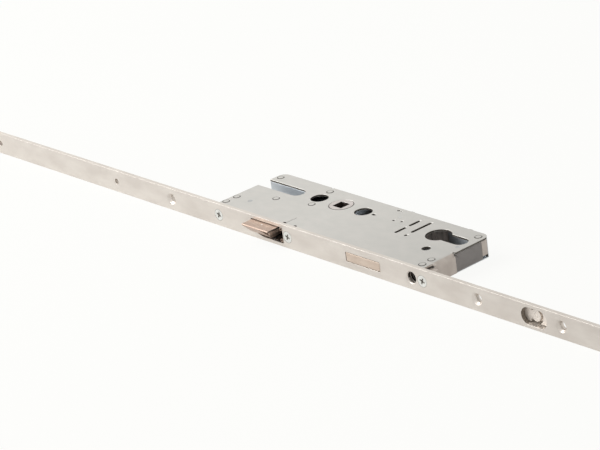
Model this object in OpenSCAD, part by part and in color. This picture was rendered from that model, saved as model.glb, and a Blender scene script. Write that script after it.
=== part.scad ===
// Multipoint door lock, centre section: faceplate, lock case with latch bolt and
// deadbolt, and the two drive rods that reach the upper and lower locking points.
// It lies on its side. X runs down the door, Y from the faceplate into the door,
// Z through the thickness of the lock case. The origin is the spindle axis at
// half the thickness of the case.

/* [Faceplate] */
// Width of the faceplate
plate_w = 16; // [15:0.5:20]
// Thickness of the faceplate
plate_t = 3; // [2.5:0.1:4]
// Reach of the faceplate up the door from the spindle
plate_up = 385; // [370:1:420]
// Reach of the faceplate down the door from the spindle
plate_down = 305; // [296:1:340]
// Shank hole of the faceplate's fixing screws
fix_hole_d = 4.6; // [4:0.1:5]
// Countersink of the faceplate's fixing screws
fix_head_d = 8.8; // [8:0.1:10]
// Place of the fixing screw above the case
fix_x_up = -124.7; // [-135:0.5:-115]
// Place of the upper fixing screw below the case
fix_x_low_1 = 170.2; // [166:0.5:175]
// Place of the lower fixing screw below the case
fix_x_low_2 = 240.1; // [238:0.5:245]
// Plain assembly holes through faceplate and rod
pin_hole_d = 4; // [3:0.1:5]
// Place of the first assembly hole
pin_hole_x_1 = -185.8; // [-195:0.5:-180]
// Place of the second assembly hole
pin_hole_x_2 = -325; // [-330:0.5:-320]
// Hole for the cylinder's fixing screw
cyl_screw_hole_d = 7.4; // [6:0.1:7.5]
// Countersink of the cylinder's fixing screw
cyl_screw_head_d = 9.2; // [8.8:0.1:9.6]
// Cylinder axis to cylinder fixing screw
cyl_screw_offset = 20.5; // [20:0.1:22]
// Length of the access slot over the rod coupling
access_l = 21; // [18:0.5:24]
// Width of the access slot over the rod coupling
access_w = 11.4; // [11:0.1:12.5]
// Place of the access slot's centre
access_x = 218; // [216:0.5:220]

/* [Lock case] */
// Backset: faceplate front to spindle axis
backset = 45; // [44:0.5:50]
// Spindle axis to cylinder axis
cyl_dist = 92; // [91:0.5:93]
// Reach of the case up the door from the spindle
case_up = 76.5; // [74.5:0.5:80]
// Reach of the case down the door from the spindle
case_down = 122.5; // [122:0.5:126]
// Spindle axis to the back of the case
case_back = 17; // [17:0.5:20]
// Outside thickness of the case
case_t = 15; // [15:0.1:15.6]
// Sheet thickness of tray and cover
sheet_t = 1.5; // [1.2:0.1:1.6]
// Radius of the case's back corners
case_corner_r = 5.5; // [4:0.5:6]
// Step back of the lower end wall behind the bent flange
end_step = 1.3; // [0.8:0.1:1.5]
// Bevel along the tray's lower end edge
tray_bevel = 2; // [1:0.1:2]
// Width of the notch in the upper end of the case
notch_w = 10.7; // [9:0.1:11]
// Place of the notch's centre line behind the spindle axis
notch_y = -1.3; // [-2.5:0.05:-1]
// Closed end of the notch
notch_end_x = -36.8; // [-38:0.1:-36]
// Sunk head of the case screws
case_screw_head_d = 8.2; // [8:0.1:8.6]
// Thread of the case screws
case_screw_d = 4; // [3.5:0.1:4.5]
// Length of the case screws
case_screw_l = 9.5; // [9:0.1:10]
// Place of the middle case screw
case_screw_x_mid = -4.3; // [-4.6:0.1:-4]
// Width of the cover's bent screw tab
tab_w = 8.8; // [8:0.1:9]
// Width of the sunk part of the fixing lugs
lug_w = 10; // [9:0.1:10.5]
// Radius of the pillars between tray and cover
pillar_r = 1.85; // [1.7:0.05:1.9]
// Radius of the riveted ends of the pillars
rivet_r = 1.6; // [1.3:0.1:1.6]
// Radius of the spread rivet heads in the cover
rivet_head_r = 2.45; // [1.9:0.05:2.5]

/* [Follower] */
// Square of the spindle
spindle_sq = 8.1; // [7.9:0.05:8.2]
// Radius of the follower's bearing collars
collar_r = 8.5; // [8:0.1:8.5]
// Radius at which the follower's arm pushes the latch pin
push_r = 12.07; // [12:0.01:12.2]
// Turn of the follower, in degrees
follower_turn = 45; // [45:1:46]
// Thickness of the follower's arm
arm_t = 3.4; // [3:0.1:3.6]
// Distance of the handle bolt holes from the spindle
bolt_hole_x = 21.5; // [21:0.1:22]
// Diameter of the handle bolt holes
bolt_hole_d = 12.3; // [11:0.1:12.4]

/* [Latch bolt] */
// Length of the latch bolt along the faceplate
latch_l = 26; // [25:0.5:28]
// Edge of the latch bolt nearest to the spindle
latch_x = -13.2; // [-14.5:0.1:-13]
// Thickness of the latch bolt
latch_t = 10; // [9.5:0.1:10]
// Projection of the latch bolt
latch_out = 9; // [8.5:0.1:10]
// Length of the slanted corner at the latch bolt's lower edge
latch_cut_l = 11.2; // [9:0.1:12]
// Height of the slanted corner at the latch bolt's lower edge
latch_cut_h = 2.6; // [2:0.1:3]
// Wire of the latch spring
latch_wire = 0.9; // [0.7:0.1:1]
// Outside diameter of the latch spring
latch_spring_d = 6.4; // [6:0.1:6.6]

/* [Deadbolt] */
// Length of the deadbolt along the faceplate
bolt_l = 31.2; // [30:0.1:32]
// Upper edge of the deadbolt
bolt_x = 52.5; // [52:0.1:53]
// Thickness of the deadbolt
bolt_t = 6; // [5.5:0.1:6.4]
// Throw of the deadbolt
bolt_throw = 20; // [18:0.5:20]

/* [Drive] */
// Travel of the drive slide and the rods
rod_travel = 18; // [16:0.5:18]
// Width of the drive rods
rod_w = 10; // [9.5:0.1:10.2]
// Thickness of the drive rods
rod_t = 1.8; // [1.5:0.1:2]
// Width of the long slots in the drive rods
rod_slot_w = 5.6; // [5.2:0.1:5.8]
// Thickness of the drive slide
slide_t = 1.8; // [1.5:0.1:1.8]
// Radius of the coupling head seen through the access slot
coupling_r = 4; // [3.6:0.1:4.2]

/* [Cylinder opening] */
// Radius of the round part of the cylinder opening
cyl_r = 8.75; // [8.6:0.05:8.9]
// Width of the flat part of the cylinder opening
cyl_tail_w = 10.4; // [10.2:0.1:10.6]
// Cylinder axis to the end of the cylinder opening
cyl_tail_l = 24.75; // [24.5:0.05:25]
// Radius swept by the cylinder's cam
cam_r = 15.2; // [15:0.1:15.3]

/* [Clearances] */
// Gap between parts that slide past each other
gap = 0.3; // [0.25:0.05:0.35]
// Radial running clearance of shafts and collars
run = 0.08; // [0.05:0.01:0.1]
// Gap round the bolts in their faceplate openings
bolt_gap = 0.35; // [0.3:0.05:0.5]

/* [Hidden] */
$fn = 48;
eps = 0.05;
front_y = -backset;
rear_y = front_y + plate_t;
cover_z = case_t / 2 - sheet_t;
floor_z = -cover_z;
case_x0 = -case_up;
case_x1 = case_down;
end_x = case_x1 - end_step;
cyl_screw_x = cyl_dist + cyl_screw_offset;

// Drive rods lie straight behind the faceplate, the lugs behind the rods
rod_y0 = rear_y + gap;
rod_y1 = rod_y0 + rod_t;
lug_y0 = rod_y1 + gap;
lug_y1 = lug_y0 + 5.3;
lug_x_up = case_x0 + 2.4;
lug_x_low = case_x1 - 0.1;
lug_top_z = cover_z - 0.8;
screw_seat_r = case_screw_d / 2 + run;

// Walls of the plain frame that guides the latch bolt
latch_guide_wall = 2;

// Drive slide: a thin plate just above the tray's floor
slide_z0 = floor_z + gap;
slide_z1 = slide_z0 + slide_t;
band_y0 = -16.4;
band_y1 = -11.2;
up_arm_x1 = latch_x - latch_l - gap - latch_guide_wall - 1.1;
up_arm_x0 = up_arm_x1 - 4.6;
low_tab_x0 = bolt_x + bolt_l + rod_travel + 2.5;
low_tab_x1 = low_tab_x0 + 4.4;
up_tab_x = (up_arm_x0 + up_arm_x1) / 2;
low_tab_x = (low_tab_x0 + low_tab_x1) / 2;
tab_top_z = rod_w / 2 - 0.6;
rod_rivet_r = 1.5;
up_rod_end = up_arm_x1 + 0.9;
low_rod_end = low_tab_x0 - 0.3;
// Guide studs of the rods: above the case, below it, and on the extension
guide_stud_r = 2;
studs_up = [-285, -212, fix_x_up - 35.3];
stud_low = fix_x_low_1 + 7.3;
stud_ext = fix_x_low_2 + 27.9;
coupling_x = access_x - 1.5;

// Deadbolt and its pin in the slide's oblique slot
bolt_cx = bolt_x + bolt_l / 2;
bolt_body_l = 30;
bolt_pin_r = 2.4;
bolt_pin_y = front_y + bolt_body_l - bolt_pin_r - 0.3;
bolt_slope = bolt_throw / rod_travel;
bolt_tail_w = 14;

// Latch bolt, stem and pin
latch_x0 = latch_x - latch_l;
latch_back = front_y + 17;
latch_pin_r = 1.5;
arm_half = 2.3;
push_a = follower_turn / 2;
latch_pin_y = -push_r * tan(push_a) + (arm_half + latch_pin_r) / cos(push_a) + gap;
arm_z0 = slide_z1 + 1.7;
arm_z1 = arm_z0 + arm_t;
stem_z0 = arm_z1 + gap;
stem_z1 = stem_z0 + 2.2;
stem_x0 = -bolt_hole_x + bolt_hole_d / 2 + gap;
stem_x1 = -collar_r - gap - 0.2;
latch_open_x1 = case_screw_x_mid - case_screw_head_d / 2 - 0.5;
latch_spring_x = latch_x0 + 4.2;
latch_cut_slope = latch_cut_h / latch_cut_l;
latch_hollow_l = 8.5;
notch_near_y = notch_y - notch_w / 2;
notch_far_y = notch_y + notch_w / 2;
spring_seat_y = notch_near_y - sheet_t;

// Pillars between tray and cover: place along X, place along Y
pillars = [[case_x0 + 3.4, front_y + 16.4], [case_x0 + 3.9, case_back - 6.6], [-23.4, case_back - 5.8],
    [case_x1 - 6.2, case_back - 5.8]];
// Short studs riveted to the cover: place along X, along Y, lower end
studs = [[-46.9, -16.2, stem_z0 - 2.4], [-18.1, -10.1, stem_z0 - 2.4],
    [case_x1 - 6.5, front_y + 15.3, cyl_screw_hole_d / 2 + gap]];
stud_r = 1.7;
// Dimples in the cover's outside
dimples = [[case_x0 + 17.4, front_y + 16.2], [case_x1 - 5.9, case_back - 24.1]];
// Rivets that hold the fixing lugs to the cover
lug_rivets = [[lug_x_up + 0.8, lug_y0 + rivet_r + 0.1], [lug_x_low - 6, lug_y0 + rivet_r + 0.1]];
rivet_head_t = 0.5;
rivet_ring = 0.07;
// Side edge of the cover's bent end flange
flange_y1 = -15.3;
// Light corner that the tray keeps behind the dark end panel
end_panel_y1 = case_back - case_corner_r - 2.7;

// Tumbler that holds the slide
tumbler_x = cyl_dist - 42.3;
tumbler_y = 6;
tumbler_pin_r = 1.6;
tumbler_z0 = slide_z1 + gap;
tumbler_z1 = tumbler_z0 + 2.5;
tooth_w = 3.4;
tooth_x = tumbler_x - 13.7;

// Guide bracket and cam guard
bracket_x_a = cyl_dist - 26.7;
bracket_x_b = cyl_dist - 17.8;
bracket_t = 1.6;
guard_r0 = cam_r + 0.5;
guard_r1 = guard_r0 + 1.5;

function pt(x, y) = [x, y];

// Height of the latch bolt's slanted lower corner
function latch_cut_z(x) = -latch_t / 2 + latch_cut_h - (x - latch_x0) * latch_cut_slope;

// Flat shapes

module round_rect(x0, y0, x1, y1, r) {
    translate([x0 + r, y0]) square([x1 - x0 - 2 * r, y1 - y0]);
    translate([x0, y0 + r]) square([x1 - x0, y1 - y0 - 2 * r]);
    for (x = [x0 + r, x1 - r], y = [y0 + r, y1 - r]) translate([x, y]) circle(r);
}

module obround(x0, x1, w) {
    translate([x0 + w / 2, -w / 2]) square([x1 - x0 - w, w]);
    translate([x0 + w / 2, 0]) circle(w / 2);
    translate([x1 - w / 2, 0]) circle(w / 2);
}

// Outline of the lock case, drawn in by the inset
module case_outline(inset = 0) {
    r = case_corner_r - inset;
    x0 = case_x0 + inset;
    x1 = end_x - inset;
    y1 = case_back - inset;
    difference() {
        union() {
            translate([x0, rear_y]) square([x1 - x0, y1 - r - rear_y]);
            translate([x0 + r, rear_y]) square([x1 - x0 - 2 * r, y1 - rear_y]);
            translate([x0 + r, y1 - r]) circle(r);
            translate([x1 - r, y1 - r]) circle(r);
        }
        notch_shape(inset);
    }
}

module notch_shape(inset = 0) {
    w = notch_w + 2 * inset;
    cx = notch_end_x - notch_w / 2;
    translate([case_x0 - 1, notch_y - w / 2]) square([cx - case_x0 + 1, w]);
    translate([cx, notch_y]) circle(w / 2);
}

// Round part and flat tail that a profile cylinder passes through
module cylinder_shape() {
    translate([cyl_dist, 0]) circle(cyl_r);
    translate([cyl_dist, -cyl_tail_w / 2]) square([cyl_tail_l - cyl_tail_w / 2, cyl_tail_w]);
    translate([cyl_dist + cyl_tail_l - cyl_tail_w / 2, 0]) circle(cyl_tail_w / 2);
}

// Holes that pass through both tray and cover
module case_holes() {
    circle(collar_r + run);
    for (s = [-1, 1]) translate([s * bolt_hole_x, 0]) circle(bolt_hole_d / 2);
    cylinder_shape();
    for (p = pillars) translate(p) circle(rivet_r);
    translate([tumbler_x, tumbler_y]) circle(tumbler_pin_r);
}

// A shape drawn with X along the faceplate and Y as height, made into a solid
// that reaches from y0 to y1
module along_y(y0, y1) {
    translate([0, y1, 0]) rotate([90, 0, 0]) linear_extrude(y1 - y0) children();
}

// Root: faceplate and case

module sunk_hole(x, hole_r, head_r) {
    translate([x, front_y - eps, 0]) rotate([-90, 0, 0]) {
        cylinder(h = plate_t + 2 * eps, r = hole_r);
        cylinder(h = head_r - hole_r + eps, r1 = head_r + eps, r2 = hole_r);
    }
}

// Opening for the latch bolt, with the same slanted corner as the bolt
module latch_opening() {
    h = latch_t / 2;
    x0 = latch_x0 - 1;
    difference() {
        round_rect(x0, -h - 0.6, latch_open_x1, h + 0.6, 0.9);
        polygon([pt(x0 - 1, -h - 1), pt(x0 - 1, latch_cut_z(x0 - 1) - 0.8),
            pt(latch_x0 + latch_cut_l + 0.2 / latch_cut_slope, -h - 1)]);
    }
}

module faceplate() {
    color("#d9d0c6") difference() {
        along_y(front_y, rear_y) difference() {
            translate([-plate_up, -plate_w / 2]) square([plate_up + plate_down, plate_w]);
            latch_opening();
            round_rect(bolt_x - bolt_gap, -bolt_t / 2 - bolt_gap,
                bolt_x + bolt_l + bolt_gap, bolt_t / 2 + bolt_gap, 0.8);
            translate([access_x, 0]) obround(-access_l / 2, access_l / 2, access_w);
            for (x = [pin_hole_x_1, pin_hole_x_2]) translate([x, 0]) circle(pin_hole_d / 2);
        }
        for (x = [fix_x_up, fix_x_low_1, fix_x_low_2]) sunk_hole(x, fix_hole_d / 2, fix_head_d / 2);
        sunk_hole(cyl_screw_x, cyl_screw_hole_d / 2, cyl_screw_head_d / 2);
        for (x = [lug_x_up, case_screw_x_mid, lug_x_low])
            sunk_hole(x, case_screw_d / 2 + run, case_screw_head_d / 2);
    }
}

// Solid lug that a case screw is driven into; its inner part carries the cover
module fixing_lug(x, inner_x0, inner_x1) {
    translate([x - lug_w / 2, lug_y0, floor_z - eps])
        cube([lug_w, lug_y1 - lug_y0, lug_top_z - floor_z + eps]);
    translate([inner_x0, lug_y0, floor_z - eps])
        cube([inner_x1 - inner_x0, lug_y1 - lug_y0, 2 * cover_z + eps]);
}

module case_tray() {
    shelf_z = cyl_screw_hole_d / 2 + gap;
    color("#cbc9c4") difference() {
        union() {
            translate([0, 0, -case_t / 2]) linear_extrude(sheet_t) case_outline();
            translate([0, 0, floor_z - eps]) linear_extrude(2 * cover_z + eps) difference() {
                case_outline();
                case_outline(sheet_t);
                translate([case_x0 + sheet_t, rear_y - 1]) square([end_x - case_x0 - 2 * sheet_t, 4]);
            }
            fixing_lug(lug_x_up, case_x0 + sheet_t, lug_x_up + lug_w / 2);
            fixing_lug(lug_x_low, lug_x_low - lug_w / 2, end_x - sheet_t + eps);
            // bent seat of the latch spring
            translate([latch_spring_x - latch_spring_d / 2 - 0.5, spring_seat_y, floor_z - eps])
                cube([latch_spring_d + 1, sheet_t + eps, 9]);
            // shelf of the lower lug over the way of the cylinder's screw
            translate([lug_x_low - 8.4, lug_y0, shelf_z]) cube([5, lug_y1 - lug_y0, cover_z - shelf_z]);
        }
        translate([0, 0, -case_t / 2 - eps]) linear_extrude(sheet_t + 2 * eps) case_holes();
        // way for the drive rods through both end walls
        for (x = [case_x0, end_x]) translate([x - 2, rear_y - 1, -rod_w / 2 - gap])
            cube([4, lug_y0 - rear_y + 1, rod_w + 2 * gap]);
        // threads for the case screws
        for (x = [lug_x_up, lug_x_low]) translate([x, lug_y0 - 1, 0]) rotate([-90, 0, 0])
            cylinder(h = lug_y1 - lug_y0 + 2, r = screw_seat_r);
        // window for the cover's bent flange and the end panel
        translate([end_x - 2 * sheet_t, lug_y1, floor_z])
            cube([2 * sheet_t + 1, end_panel_y1 - lug_y1, case_t]);
        // relief notch at the foot of the light corner
        translate([end_x - 2 * sheet_t, end_panel_y1 - eps, floor_z])
            cube([2 * sheet_t + 1, case_corner_r - 0.5, 1.8]);
        // slit between the lower lug and the cover
        translate([end_x - sheet_t, rear_y - 1, lug_top_z])
            cube([sheet_t + end_step + 1, lug_y1 - rear_y + 2, case_t]);
        // bevel along the lower edge of the end wall
        translate([end_x, 0, -case_t / 2]) rotate([0, 45, 0])
            cube([tray_bevel * sqrt(2), 4 * case_back + 4 * backset, tray_bevel * sqrt(2)], center = true);
    }
}

// Dark plate that closes the window in the lower end wall
module end_panel() {
    y0 = flange_y1 + gap / 2;
    y1 = end_panel_y1 - 0.05;
    color("#767270") {
        translate([end_x - sheet_t - 0.1, y0, floor_z]) cube([sheet_t, y1 - y0, 2 * cover_z - 0.15]);
        translate([end_x - 2.2 * sheet_t, y0 + 1, floor_z]) cube([1.5 * sheet_t, y1 - y0 - 2, 1.2]);
    }
}

module slot_y(x, y0, y1, w) {
    translate([x, y0 + w / 2]) circle(w / 2);
    translate([x, y1 - w / 2]) circle(w / 2);
    translate([x - w / 2, y0 + w / 2]) square([w, y1 - y0 - w]);
}

module case_cover() {
    flange_y0 = lug_y1 + 0.8;
    bend_r = 4;
    relief_r = 0.8;
    tab_x0 = case_screw_x_mid - tab_w / 2;
    tab_x1 = case_screw_x_mid + tab_w / 2;
    color("#cbc9c4") difference() {
        union() {
            difference() {
                translate([0, 0, cover_z]) linear_extrude(sheet_t) difference() {
                    case_outline();
                    case_holes();
                    for (p = studs) translate([p[0], p[1]]) circle(rivet_r);
                    for (p = lug_rivets) translate(p) circle(rivet_r);
                    for (x = [tab_x0 - relief_r, tab_x1 + relief_r])
                        translate([x, rear_y + relief_r - 0.3]) circle(relief_r);
                    translate([tab_x0 - relief_r - 0.2, rear_y + relief_r]) square([0.4, 11]);
                    slot_y(bracket_x_a, -12.9, -3.4, 1.8);
                    slot_y(bracket_x_a, -0.2, 8.9, 1.8);
                    slot_y(bracket_x_b, -6.9, 10.5, 1.8);
                    translate([cyl_dist + 8.6, -19.4]) circle(3);
                    translate([bolt_hole_x + 9.8, 0.2]) round_rect(-1.6, -1.1, 1.6, 1.1, 1);
                    translate([tumbler_x - 9, tumbler_y + 7.7]) circle(1);
                    translate([tumbler_x - 9, tumbler_y + 7.4]) square([3.6, 0.6]);
                    for (p = [[tumbler_x, 0.6], [tumbler_x + 6.1, 2.1], [bracket_x_b + 0.2, -12.1]])
                        translate(p) circle(0.9);
                    translate([-26.7, case_back]) circle(1);
                    // relief at the end of the flange's bend
                    translate([end_x - 0.7, flange_y1 + 0.8]) circle(0.9);
                }
                // spread rivet heads lie flush in their own recesses
                for (p = concat(pillars, studs, lug_rivets))
                    translate([p[0], p[1], cover_z + sheet_t - rivet_head_t])
                        cylinder(h = 1, r = rivet_head_r + rivet_ring);
                // shallow dimples pressed into the cover
                for (p = dimples) translate([p[0], p[1], cover_z + sheet_t - 0.25])
                    cylinder(h = 0.5, r1 = 1.3, r2 = 2.3);
                // the flange's soft bend takes the place of the sharp edge
                translate([case_x1 - bend_r, flange_y0, cover_z - 1])
                    cube([bend_r + 1, flange_y1 - flange_y0, sheet_t + 2]);
            }
            // bent end flange
            translate([case_x1 - bend_r, flange_y1, 0]) rotate([90, 0, 0])
                linear_extrude(flange_y1 - flange_y0) {
                    translate([bend_r - sheet_t, -cover_z + 0.2])
                        square([sheet_t, 2 * cover_z + sheet_t - bend_r - 0.2]);
                    translate([0, cover_z + sheet_t - bend_r]) intersection() {
                        difference() {
                            circle(bend_r);
                            circle(bend_r - sheet_t);
                        }
                        square(bend_r + 1);
                    }
                }
            // screw tab bent down behind the faceplate
            translate([tab_x0, rear_y, -5]) cube([tab_w, sheet_t, cover_z + sheet_t + 5]);
            // small tongues at the back edge
            for (x = [tumbler_x - 0.7, cyl_dist + 10.4])
                translate([x, case_back - eps, cover_z]) cube([3, 0.5 + eps, sheet_t]);
        }
        translate([case_screw_x_mid, rear_y - 1, 0]) rotate([-90, 0, 0])
            cylinder(h = sheet_t + 2, r = screw_seat_r);
        // eased bend of the tab
        translate([tab_x0 - eps, rear_y, cover_z + sheet_t]) rotate([45, 0, 0])
            cube([tab_w + 2 * eps, 1, 1], center = false);
    }
}

module riveted_post(p, r, z0, z1, end_r, end0, end1) {
    translate([p[0], p[1], z0]) cylinder(h = z1 - z0, r = r);
    translate([p[0], p[1], z0 - end0]) cylinder(h = z1 - z0 + end0 + end1, r = end_r);
}

// Rivet end that fills its hole in the cover and spreads into a flush head
module cover_rivet(p) {
    translate([p[0], p[1], cover_z]) cylinder(h = sheet_t, r = rivet_r);
    translate([p[0], p[1], cover_z + sheet_t - rivet_head_t]) cylinder(h = rivet_head_t, r = rivet_head_r);
}

module case_pillars() {
    color("#c4c2bd") for (p = pillars) {
        riveted_post(p, pillar_r, floor_z, cover_z, rivet_r, sheet_t, sheet_t);
        cover_rivet(p);
    }
}

module cover_studs() {
    color("#c4c2bd") {
        for (p = studs) translate([p[0], p[1], p[2]]) cylinder(h = cover_z - p[2], r = stud_r);
        for (p = concat(studs, lug_rivets)) cover_rivet(p);
    }
}

// Countersunk screw with a cross recess, head flush with the faceplate
module case_screw(x) {
    head_r = case_screw_head_d / 2 - run;
    shank_r = case_screw_d / 2;
    translate([x, front_y, 0]) rotate([-90, 0, 0]) difference() {
        union() {
            cylinder(h = head_r - shank_r, r1 = head_r, r2 = shank_r);
            cylinder(h = case_screw_l, r = shank_r);
        }
        for (a = [0, 90]) rotate([0, 0, a + 20])
            translate([-2.1, -0.45, -eps]) cube([4.2, 0.9, 1.3]);
        translate([0, 0, -eps]) cylinder(h = 1.7, r1 = 1.1, r2 = 0.6);
    }
}

module case_screws() {
    color("#d3d6d0") for (x = [lug_x_up, case_screw_x_mid, lug_x_low]) case_screw(x);
}

// Studs welded to the back of the faceplate, on which the rods slide
module rod_guide_studs() {
    head_r = rod_w / 2 - 0.6;
    head_t = 1.2;
    color("#c9c3ba") for (x = concat(studs_up, [stud_low, stud_ext]))
        translate([x, rear_y, 0]) rotate([-90, 0, 0]) {
            cylinder(h = rod_t + 2 * gap, r = guide_stud_r);
            translate([0, 0, rod_t + 2 * gap]) cylinder(h = head_t, r = head_r);
        }
}

// Plain frames that guide the bolts behind the faceplate

module guide_frame(x0, x1, half_t, wall, depth, frame_half) {
    along_y(rear_y, rear_y + depth) difference() {
        translate([x0 - wall, -frame_half]) square([x1 - x0 + 2 * wall, 2 * frame_half]);
        translate([x0, -half_t]) square([x1 - x0, 2 * half_t]);
    }
}

module latch_guide() {
    color("#3b3a38") guide_frame(latch_x0 - gap, latch_x + gap, latch_t / 2 + gap, latch_guide_wall,
        9, cover_z - 0.1);
}

module deadbolt_guide() {
    color("#8b8a86") difference() {
        guide_frame(bolt_x - gap, bolt_x + bolt_l + gap, bolt_t / 2 + gap, 1.3, 8, cover_z);
        translate([0, -2 * backset, floor_z - 1]) cube([4 * bolt_cx, 4 * backset, slide_t + 2 * gap + 1]);
        // way for the deadbolt's pin
        translate([bolt_cx - bolt_pin_r - gap, -2 * backset, floor_z - 1])
            cube([2 * bolt_pin_r + 2 * gap, 4 * backset, cover_z]);
    }
}

module guide_bracket() {
    floor_t = 1.5;
    tab_h = 2 * cover_z + 0.4;
    xa = bracket_x_a - bracket_t / 2;
    xb = bracket_x_b - bracket_t / 2;
    color("#a9a8a5") {
        translate([xa, band_y1 + gap, floor_z]) cube([xb - xa, 8.4 - band_y1 - gap, floor_t]);
        translate([xa, band_y1 + gap, floor_z]) cube([bracket_t, 8.4 - band_y1 - gap, 2 * cover_z]);
        for (y = [[band_y1 + gap, -3.9], [0.3, 8.4]])
            translate([xa, y[0], floor_z]) cube([bracket_t, y[1] - y[0], tab_h]);
        translate([xb, -6.4, floor_z]) cube([bracket_t, 16.4, tab_h]);
    }
}

// Ribbed casting on the spindle side of the cylinder's cam
module cam_guard() {
    rib_n = 9;
    rib_from = 145;
    rib_to = 215;
    color("#55534f") translate([0, 0, floor_z]) linear_extrude(2 * cover_z - 0.2) difference() {
        translate([cyl_dist, 0]) {
            difference() {
                circle(guard_r1);
                circle(guard_r0);
            }
            for (i = [0 : rib_n - 1]) rotate([0, 0, rib_from + i * (rib_to - rib_from) / (rib_n - 1)])
                translate([guard_r0 - 0.25, -0.5]) square([0.6, 1]);
        }
        // only the arc towards the spindle stays, clear of slide, bracket and back wall
        reach = 2 * guard_r1;
        translate([cyl_dist - guard_r0 * 0.5, -reach]) square(2 * reach);
        translate([bracket_x_b - 3, -reach]) square([3 + bracket_t / 2 + gap, 2 * reach]);
        translate([cyl_dist - reach, -reach]) square([2 * reach, reach + band_y1 + gap]);
        translate([cyl_dist - reach, case_back - sheet_t - 0.1]) square([2 * reach, reach]);
    }
}

module tumbler_post() {
    color("#c4c2bd") riveted_post([tumbler_x, tumbler_y], tumbler_pin_r + 0.5, tumbler_z1 + gap,
        cover_z, tumbler_pin_r, tumbler_z1 + gap - floor_z + sheet_t, sheet_t);
    color("#c4c2bd") translate([tumbler_x, tumbler_y, floor_z])
        cylinder(h = tumbler_z0 - gap - floor_z, r = tumbler_pin_r + 0.9);
}

// Follower: two bearing collars with the square socket, and an arm for the latch

module follower() {
    tip_r = push_r + latch_pin_r + 1.3;
    color("#a49c98") difference() {
        union() {
            translate([0, 0, -case_t / 2]) cylinder(h = case_t, r = collar_r);
            rotate([0, 0, push_a]) intersection() {
                translate([-tip_r - 2, -arm_half, arm_z0]) cube([tip_r + 2, 2 * arm_half, arm_t]);
                translate([0, 0, arm_z0]) cylinder(h = arm_t, r = tip_r);
            }
            // short arm that carries the return spring's leg
            rotate([0, 0, 128]) translate([0, -1.6, arm_z0]) cube([11.4, 3.2, arm_t]);
        }
        translate([-spindle_sq / 2, -spindle_sq / 2, -case_t]) cube([spindle_sq, spindle_sq, 2 * case_t]);
    }
}

// Points of a wire that winds round the origin, then its ends
function winding(r, pitch, turns, steps) =
    [for (i = [0 : turns * steps]) [r * cos(360 * i / steps), r * sin(360 * i / steps), pitch * i / steps]];

// Least gap between one turn of a winding and the next, measured on its points
function least_gap(path, wire, steps) =
    min([for (i = [0 : len(path) - 1 - steps], j = [i + floor(steps * 3 / 4) : min(i + 2 * steps, len(path) - 1)])
        norm(path[j] - path[i])]) - wire;

// One unbroken round wire along a path that runs about the Z axis
module wire_along(path, wire_r, sides = 6) {
    n = len(path) - 1;
    way = [for (i = [0 : n]) let (d = path[min(i + 1, n)] - path[max(i - 1, 0)]) d / norm(d)];
    points = [for (i = [0 : n]) let (u = cross(way[i], [0, 0, 1]), side = u / norm(u), up = cross(side, way[i]))
        each [for (j = [0 : sides - 1]) let (a = 360 * j / sides)
            path[i] + wire_r * cos(a) * side + wire_r * sin(a) * up]];
    walls = [for (i = [0 : n - 1], j = [0 : sides - 1]) let (k = (j + 1) % sides,
        a = i * sides + j, b = i * sides + k, c = a + sides, d = b + sides) each [[a, b, d], [a, d, c]]];
    end_a = [for (j = [1 : sides - 2]) [0, j + 1, j]];
    end_b = [for (j = [1 : sides - 2]) [n * sides, n * sides + j, n * sides + j + 1]];
    polyhedron(points, concat(walls, end_a, end_b));
}

// Return spring round the follower's lower collar, with a leg at each end
module follower_spring() {
    wire = 0.8;
    turns = 2;
    steps = 24;
    coil_r = collar_r + gap + wire / 2 + 0.4;
    z0 = floor_z + wire / 2 + 0.1;
    pitch = (arm_z0 - gap - wire / 2 - z0) / turns;
    coil = winding(coil_r, pitch, turns, steps);
    leg_a = [coil_r, -4.5, 0];
    leg_b = [coil_r, 12.5, pitch * turns];
    echo("least gap between turns of the follower spring", least_gap(coil, wire, steps));
    color("#8e8d8a") translate([0, 0, z0]) wire_along(concat([leg_a], coil, [leg_b]), wire / 2);
}

// Latch bolt: bevelled head with a hollow end, drawn in the YZ plane

module latch_profile() {
    h = latch_t / 2;
    tip = front_y - latch_out;
    polygon([pt(latch_back, -h), pt(front_y + 1, -h), pt(tip + 0.4, h - 2.2), pt(tip, h - 1.6),
        pt(tip, h - 0.5), pt(tip + 0.5, h), pt(latch_back, h)]);
}

module latch_bolt() {
    wall = 1.8;
    foot = 3;
    h = latch_t / 2;
    tip = front_y - latch_out;
    color("#b9a195") difference() {
        translate([latch_x0, 0, 0]) rotate([90, 0, 90]) linear_extrude(latch_l) latch_profile();
        // slanted lower corner
        along_y(tip - 1, latch_back + 1) polygon([pt(latch_x0 - 1, -h - 1),
            pt(latch_x0 - 1, latch_cut_z(latch_x0 - 1)), pt(latch_x0 + latch_cut_l + 1 / latch_cut_slope, -h - 1)]);
        // hollow end next to the spindle, open through the bevel, with a foot at its end
        translate([latch_x - latch_hollow_l, tip - 1, -h - 1])
            cube([latch_hollow_l - foot, latch_back - tip - 2, 2 * h + 1 - wall]);
        translate([latch_x - foot - 1, tip - 1, -h + wall])
            cube([foot + 2, latch_back - tip - 2, 2 * h - 2 * wall]);
    }
    // rib that stiffens the roof of the hollow
    color("#b9a195") translate([latch_x - latch_hollow_l / 2 - 0.5, front_y - 4.5, 0])
        cube([1.1, latch_back - front_y + 3.5, h - wall + eps]);
    // spring spigot on the back of the head
    color("#b9a195") translate([latch_spring_x, latch_back - eps, 0]) rotate([-90, 0, 0])
        cylinder(h = 8, r = latch_spring_d / 2 - latch_wire - 0.3);
}

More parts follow.
